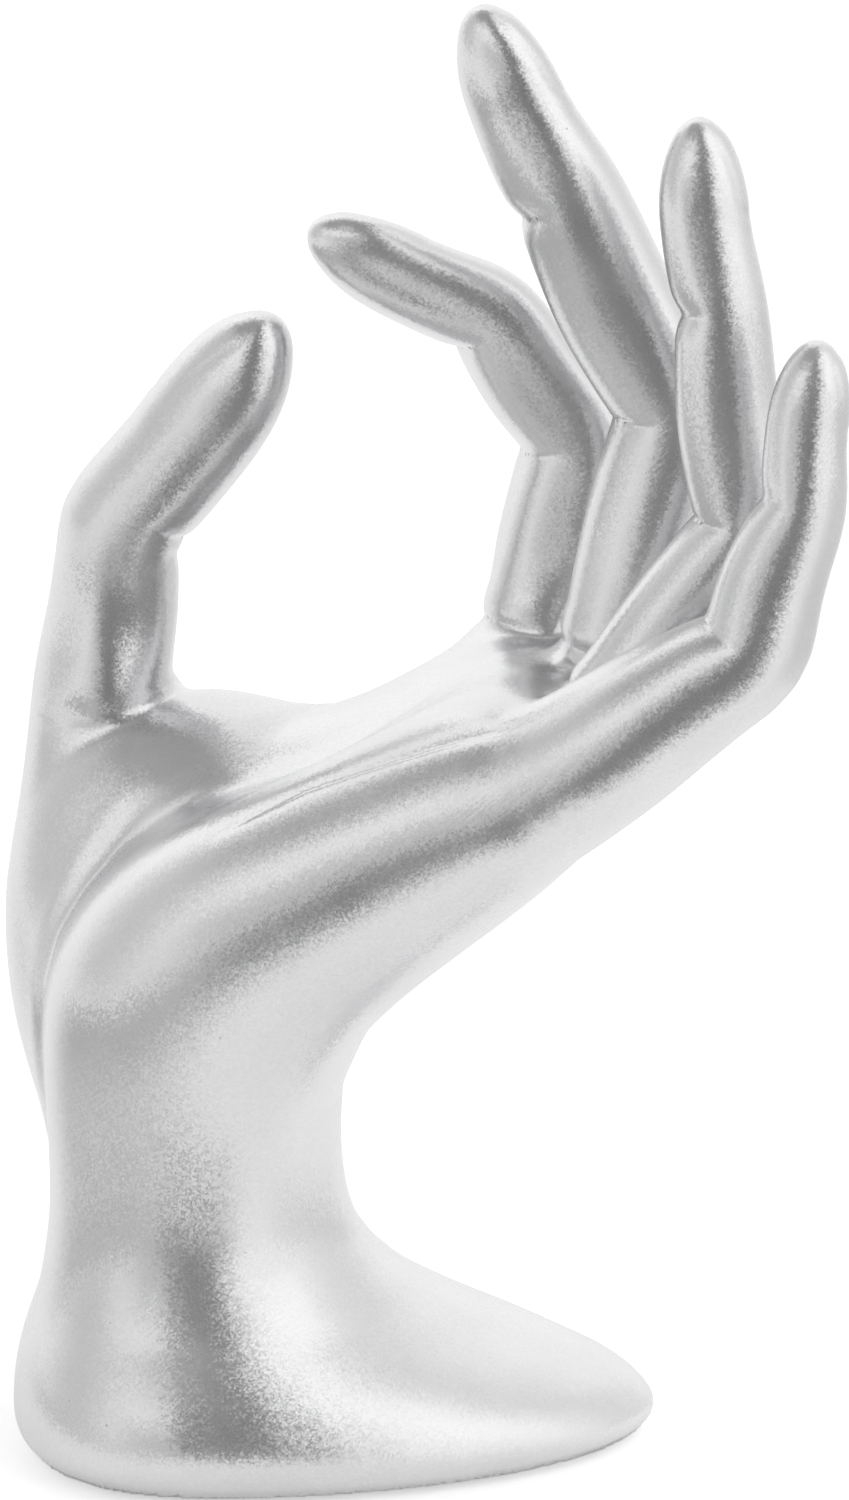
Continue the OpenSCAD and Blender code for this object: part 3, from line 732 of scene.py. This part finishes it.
# fine rubbing lines that come and go in patches
def makeRubLines():
    tree, start, end = newGroup("rubLines", [("Turn", "NodeSocketVector", (0, 0.7, 0)),
                                             ("Fineness", "NodeSocketFloat", 1.0)],
                                [("Height", "NodeSocketFloat"), ("Rubbed", "NodeSocketFloat")])
    where = addNode(tree, "ShaderNodeTexCoord")
    turned = addNode(tree, "ShaderNodeMapping", None, Vector=where.outputs["Object"], Rotation=start.outputs["Turn"])
    drawn = addNode(tree, "ShaderNodeVectorMath", {"operation": "MULTIPLY", "1": (160.0, 160.0, 3200.0)},
                    i0=turned.outputs[0])
    sized = addNode(tree, "ShaderNodeVectorMath", {"operation": "SCALE"},
                    i0=drawn.outputs[0], Scale=start.outputs["Fineness"])
    lines = addNode(tree, "ShaderNodeTexNoise", {"Scale": 1.0, "Detail": 3.0, "Roughness": 0.6},
                    Vector=sized.outputs[0])
    patches = addNode(tree, "ShaderNodeTexNoise", {"Scale": 60.0, "Detail": 2.0}, Vector=where.outputs["Object"])
    shown = addNode(tree, "ShaderNodeMapRange", {"From Min": 0.48, "From Max": 0.68}, Value=patches.outputs[0])
    height = addNode(tree, "ShaderNodeMath", {"operation": "MULTIPLY"}, i0=lines.outputs[0], i1=shown.outputs[0])
    tree.links.new(height.outputs[0], end.inputs["Height"])
    tree.links.new(shown.outputs[0], end.inputs["Rubbed"])
    return tree


# rare specks, one to a cell and only in some cells
def makeSpecks():
    tree, start, end = newGroup("specks", [("Scale", "NodeSocketFloat", 240.0), ("Size", "NodeSocketFloat", 0.035),
                                           ("Share", "NodeSocketFloat", 0.2)], [("Speck", "NodeSocketFloat")])
    where = addNode(tree, "ShaderNodeTexCoord")
    cells = addNode(tree, "ShaderNodeTexVoronoi", None, Vector=where.outputs["Object"], Scale=start.outputs["Scale"])
    dot = addNode(tree, "ShaderNodeMath", {"operation": "LESS_THAN"},
                  i0=cells.outputs["Distance"], i1=start.outputs["Size"])
    pick = addNode(tree, "ShaderNodeSeparateColor", None, Color=cells.outputs["Color"])
    some = addNode(tree, "ShaderNodeMath", {"operation": "LESS_THAN"}, i0=pick.outputs[0], i1=start.outputs["Share"])
    both = addNode(tree, "ShaderNodeMath", {"operation": "MULTIPLY"}, i0=dot.outputs[0], i1=some.outputs[0])
    tree.links.new(both.outputs[0], end.inputs["Speck"])
    return tree


flakeGrain, rubLines, specks = makeFlakeGrain(), makeRubLines(), makeSpecks()


def placeGroup(tree, group, **values):
    node = tree.nodes.new("ShaderNodeGroup")
    node.node_tree = group
    for key, value in values.items():
        node.inputs[key].default_value = value
    return node


def newMaterial(name):
    mat = bpy.data.materials.new(name)
    mat.use_nodes = True
    return mat, mat.node_tree, mat.node_tree.nodes["Principled BSDF"]


# bright and dull are the ends of the colour mix; sparkle is how much the painted flake glint adds to it
silverPaint = {
    "bright": (0.80, 0.80, 0.805, 1), "dull": (0.73, 0.73, 0.74, 1), "speck": (0.54, 0.54, 0.55, 1),
    "roughness": (0.22, 0.29), "rubbedMore": 0.05, "flakes": 4600.0, "tilt": 0.10, "sparkle": 0.45,
}


def makeSilverPaint():
    mat, tree, bsdf = newMaterial("silverPaint")
    where = addNode(tree, "ShaderNodeTexCoord")
    flakes = placeGroup(tree, flakeGrain, Scale=silverPaint["flakes"], Tilt=silverPaint["tilt"])
    rub = placeGroup(tree, rubLines)
    dots = placeGroup(tree, specks)
    cloud = addNode(tree, "ShaderNodeTexNoise", {"Scale": 90.0, "Detail": 4.0}, Vector=where.outputs["Object"])
    # painted glint mixed with random tone: lighter flakes (Sparkle) and a cloud of patches move the colour from dull to
    # bright
    tone = addNode(tree, "ShaderNodeMath", {"operation": "MULTIPLY_ADD", "1": silverPaint["sparkle"]},
                   i0=flakes.outputs["Sparkle"], i2=cloud.outputs[0])
    share = addNode(tree, "ShaderNodeMapRange", {"From Min": 0.35, "From Max": 1.0}, Value=tone.outputs[0])
    colour = addNode(tree, "ShaderNodeMix", {"data_type": "RGBA"}, Factor=share.outputs[0])
    colour.inputs["A"].default_value, colour.inputs["B"].default_value = silverPaint["dull"], silverPaint["bright"]
    spotted = addNode(tree, "ShaderNodeMix", {"data_type": "RGBA"}, Factor=dots.outputs["Speck"],
                      A=colour.outputs["Result"])
    spotted.inputs["B"].default_value = silverPaint["speck"]
    tree.links.new(spotted.outputs["Result"], bsdf.inputs["Base Color"])
    low, high = silverPaint["roughness"]
    satin = addNode(tree, "ShaderNodeMapRange", {"From Min": 0.3, "From Max": 0.75, "To Min": low, "To Max": high},
                    Value=cloud.outputs[0])
    rough = addNode(tree, "ShaderNodeMath", {"operation": "MULTIPLY_ADD", "1": silverPaint["rubbedMore"]},
                    i0=rub.outputs["Rubbed"], i2=satin.outputs[0])
    tree.links.new(rough.outputs[0], bsdf.inputs["Roughness"])
    bsdf.inputs["Metallic"].default_value = 1.0
    bump = addNode(tree, "ShaderNodeBump", {"Strength": 0.25, "Distance": 0.00012},
                   Height=rub.outputs["Height"], Normal=flakes.outputs["Normal"])
    tree.links.new(bump.outputs[0], bsdf.inputs["Normal"])
    return mat


padFelt = {
    "dark": (0.012, 0.012, 0.013, 1), "light": (0.055, 0.055, 0.058, 1),
    "fibres": 1400.0, "tufts": 260.0, "roughness": 0.95, "specular": 0.2, "sheen": 0.35,
}


def makeFelt():
    mat, tree, bsdf = newMaterial("padFelt")
    where = addNode(tree, "ShaderNodeTexCoord")
    fibres = addNode(tree, "ShaderNodeTexNoise", {"Scale": padFelt["fibres"], "Detail": 5.0, "Distortion": 2.5},
                     Vector=where.outputs["Object"])
    tufts = addNode(tree, "ShaderNodeTexNoise", {"Scale": padFelt["tufts"], "Detail": 3.0},
                    Vector=where.outputs["Object"])
    both = addNode(tree, "ShaderNodeMath", {"operation": "MULTIPLY"}, i0=fibres.outputs[0], i1=tufts.outputs[0])
    share = addNode(tree, "ShaderNodeMapRange", {"From Min": 0.12, "From Max": 0.42}, Value=both.outputs[0])
    colour = addNode(tree, "ShaderNodeMix", {"data_type": "RGBA"}, Factor=share.outputs[0])
    colour.inputs["A"].default_value, colour.inputs["B"].default_value = padFelt["dark"], padFelt["light"]
    tree.links.new(colour.outputs["Result"], bsdf.inputs["Base Color"])
    bsdf.inputs["Roughness"].default_value = padFelt["roughness"]
    bsdf.inputs["Specular IOR Level"].default_value = padFelt["specular"]
    bsdf.inputs["Sheen Weight"].default_value = padFelt["sheen"]
    bump = addNode(tree, "ShaderNodeBump", {"Strength": 0.8, "Distance": 0.0003}, Height=fibres.outputs[0])
    tree.links.new(bump.outputs[0], bsdf.inputs["Normal"])
    return mat


steel = {
    "colour": (0.56, 0.565, 0.58, 1), "spot": (0.36, 0.35, 0.34, 1), "roughness": (0.26, 0.42),
    "rub": {"Turn": (0.3, 0.2, 0.0), "Fineness": 1.6}, "spots": {"Scale": 900.0, "Size": 0.12, "Share": 0.15},
}


def makeDowelSteel():
    mat, tree, bsdf = newMaterial("dowelSteel")
    rub = placeGroup(tree, rubLines, **steel["rub"])
    dots = placeGroup(tree, specks, **steel["spots"])
    colour = addNode(tree, "ShaderNodeMix", {"data_type": "RGBA"}, Factor=dots.outputs["Speck"])
    colour.inputs["A"].default_value, colour.inputs["B"].default_value = steel["colour"], steel["spot"]
    tree.links.new(colour.outputs["Result"], bsdf.inputs["Base Color"])
    low, high = steel["roughness"]
    rough = addNode(tree, "ShaderNodeMapRange", {"To Min": low, "To Max": high}, Value=rub.outputs["Rubbed"])
    tree.links.new(rough.outputs[0], bsdf.inputs["Roughness"])
    bsdf.inputs["Metallic"].default_value = 1.0
    bump = addNode(tree, "ShaderNodeBump", {"Strength": 0.4, "Distance": 0.0001}, Height=rub.outputs["Height"])
    tree.links.new(bump.outputs[0], bsdf.inputs["Normal"])
    return mat


paint = makeSilverPaint()
for ob in castings:
    ob.data.materials.append(paint)
felt.data.materials.append(makeFelt())
dowelSteel = makeDowelSteel()
dowels = frame["nodes"]["digit_dowels"]
for slot in dowels.material_slots:
    slot.material = dowelSteel
print("materials:", [m.name for m in bpy.data.materials])


# camera, white tent and pale floor
studio = {
    "aimAt": (0.009698, 0.0008545, 0.080091), "distance": 1.0, "tilt": 14.0,
    "lens": 218.39, "shift": (0.00044, -0.0141),
    "surround": 1.08,                                # white tent all round
    # gaps in it: bearing, half width, soft edge, level
    "gaps": [(2, 15, 14, 0.21), (-90, 22, 35, 0.66), (118, 18, 25, 0.86)],
    "topShade": (-60, 72, 22, 14, 0.38),             # bearing, height, half width, soft edge, level
    "lowShade": (-32, 12, 14, 0.62, 12, 26),         # bearing, half width, soft edge, level, heights where it ends
    "floorHalf": 4, "floorColour": 0.93, "floorLift": 0.45, "mirrorLift": 0.25,
    # painted shade on the floor, seen only in what the paint mirrors: bearing, half width, soft edge, level, where it
    # starts and ends
    "paintedFloorShade": [(0, 24, 16, 0.22, 0.15, 9), (-72, 42, 25, 0.46, 0.11, 0.45), (105, 35, 25, 0.70, 0.16, 9)],
    "floorSoft": 0.06,
    # name, bearing, height, distance, size, power
    "softboxes": [("rightSoftbox", 62, 40, 1.2, (0.8, 1.1), 0.4),
                  ("leftSoftbox", -146, 40, 1.2, (0.8, 1.1), 0.25)],
    "softboxAim": (0, 0, 0.08),
}


def towards(bearing, height):
    a, h = math.radians(bearing), math.radians(height)
    return Vector((math.sin(a) * math.cos(h), -math.cos(a) * math.cos(h), math.sin(h)))


# 1 inside a gap of the tent, or inside a patch of painted floor shade, round one bearing, 0 outside it
def gapMask(tree, place, turn, half, soft):
    parts = addNode(tree, "ShaderNodeSeparateXYZ", None, i0=place)
    front = addNode(tree, "ShaderNodeMath", {"operation": "MULTIPLY", "1": -1.0}, i0=parts.outputs["Y"])
    bearing = addNode(tree, "ShaderNodeMath", {"operation": "ARCTAN2"}, i0=parts.outputs["X"], i1=front.outputs[0])
    off = addNode(tree, "ShaderNodeMath", {"operation": "SUBTRACT", "1": math.radians(turn)}, i0=bearing.outputs[0])
    wrap = addNode(tree, "ShaderNodeMath", {"operation": "WRAP", "1": math.pi, "2": -math.pi}, i0=off.outputs[0])
    size = addNode(tree, "ShaderNodeMath", {"operation": "ABSOLUTE"}, i0=wrap.outputs[0])
    return smoothStep(tree, size.outputs[0], math.radians(half + soft), math.radians(half - soft / 2))


# a level darkened in turn by masks with levels of their own
def darkened(tree, level, dims):
    last = None
    for mask, low in dims:
        blend = addNode(tree, "ShaderNodeMix", {"data_type": "RGBA", "blend_type": "DARKEN"}, Factor=mask)
        blend.inputs["A"].default_value = (level,) * 3 + (1,)
        blend.inputs["B"].default_value = (low,) * 3 + (1,)
        if last:
            tree.links.new(last, blend.inputs["A"])
        last = blend.outputs["Result"]
    return last


def studioWorld():
    world = bpy.data.worlds.new("studio")
    scene.world = world
    world.use_nodes = True
    tree = world.node_tree
    where = addNode(tree, "ShaderNodeTexCoord").outputs["Generated"]
    dims = [(gapMask(tree, where, *gap[:3]), gap[3]) for gap in studio["gaps"]]
    bearing, height, half, soft, level = studio["topShade"]
    facing = addNode(tree, "ShaderNodeVectorMath", {"operation": "DOT_PRODUCT", "1": towards(bearing, height)},
                     i0=where)
    outside, inside = math.radians(half + soft), math.radians(half - soft / 2)
    top = smoothStep(tree, facing.outputs["Value"], math.cos(outside), math.cos(inside))
    dims.append((top, level))
    *gap, level, full, none = studio["lowShade"]
    up = addNode(tree, "ShaderNodeSeparateXYZ", None, i0=where)
    fall = smoothStep(tree, up.outputs["Z"], math.sin(math.radians(none)), math.sin(math.radians(full)))
    low = addNode(tree, "ShaderNodeMath", {"operation": "MULTIPLY"}, i0=gapMask(tree, where, *gap), i1=fall)
    dims.append((low.outputs[0], level))
    rays = addNode(tree, "ShaderNodeLightPath")
    white = addNode(tree, "ShaderNodeMix", {"data_type": "RGBA"}, Factor=rays.outputs["Is Camera Ray"],
                    A=darkened(tree, studio["surround"], dims))
    white.inputs["B"].default_value = (1, 1, 1, 1)
    tree.links.new(white.outputs["Result"], tree.nodes["Background"].inputs["Color"])


def paleFloor():
    me = bpy.data.meshes.new("floor")
    half = studio["floorHalf"]
    me.from_pydata([(-half, -half, 0), (half, -half, 0), (half, half, 0), (-half, half, 0)], [], [(0, 1, 2, 3)])
    ob = bpy.data.objects.new("floor", me)
    scene.collection.objects.link(ob)
    mat, tree, bsdf = newMaterial("paleFloor")
    where = addNode(tree, "ShaderNodeTexCoord").outputs["Object"]
    reach = addNode(tree, "ShaderNodeVectorMath", {"operation": "LENGTH"}, i0=where)
    # painted shade: patches where the floor's colour is darker, so that the paint mirrors shade there
    soft, dims = studio["floorSoft"], []
    for gap in studio["paintedFloorShade"]:
        mask = gapMask(tree, where, *gap[:3])
        for edge, side in ((gap[4], soft), (gap[5], -soft)):
            fall = smoothStep(tree, reach.outputs["Value"], edge - side, edge + side)
            mask = addNode(tree, "ShaderNodeMath", {"operation": "MULTIPLY"}, i0=mask, i1=fall).outputs[0]
        dims.append((mask, gap[3]))
    rays = addNode(tree, "ShaderNodeLightPath")
    # glossy rays see the floor with its painted shade, other rays the plain floor colour
    tone = addNode(tree, "ShaderNodeMix", {"data_type": "RGBA"}, Factor=rays.outputs["Is Glossy Ray"],
                   B=darkened(tree, studio["floorColour"], dims))
    tone.inputs["A"].default_value = (studio["floorColour"],) * 3 + (1,)
    tree.links.new(tone.outputs["Result"], bsdf.inputs["Base Color"])
    tree.links.new(tone.outputs["Result"], bsdf.inputs["Emission Color"])
    bsdf.inputs["Roughness"].default_value = 0.9
    bsdf.inputs["Specular IOR Level"].default_value = 0.0
    lift = addNode(tree, "ShaderNodeMath", {"operation": "MULTIPLY", "1": studio["floorLift"]},
                   i0=rays.outputs["Is Camera Ray"])
    lift = addNode(tree, "ShaderNodeMath", {"operation": "MULTIPLY_ADD", "1": studio["mirrorLift"]},
                   i0=rays.outputs["Is Glossy Ray"], i2=lift.outputs[0])
    tree.links.new(lift.outputs[0], bsdf.inputs["Emission Strength"])
    me.materials.append(mat)


def softbox(name, bearing, height, away, size, power):
    data = bpy.data.lights.new(name, "AREA")
    data.shape = "RECTANGLE"
    data.size, data.size_y = size
    data.energy = power
    ob = bpy.data.objects.new(name, data)
    scene.collection.objects.link(ob)
    way = towards(bearing, height)
    ob.location = Vector(studio["softboxAim"]) + way * away
    ob.rotation_euler = (-way).to_track_quat("-Z", "Y").to_euler()


studioWorld()
paleFloor()
for box in studio["softboxes"]:
    softbox(*box)

cameraData = bpy.data.cameras.new("camera")
camera = bpy.data.objects.new("camera", cameraData)
scene.collection.objects.link(camera)
camera.location = Vector(studio["aimAt"]) + towards(0, studio["tilt"]) * studio["distance"]
camera.rotation_euler = (math.radians(90 - studio["tilt"]), 0, 0)
cameraData.lens = studio["lens"]
cameraData.sensor_width = 36
cameraData.shift_x, cameraData.shift_y = studio["shift"]
scene.camera = camera
scene.view_settings.view_transform = "Standard"
print("studio set")
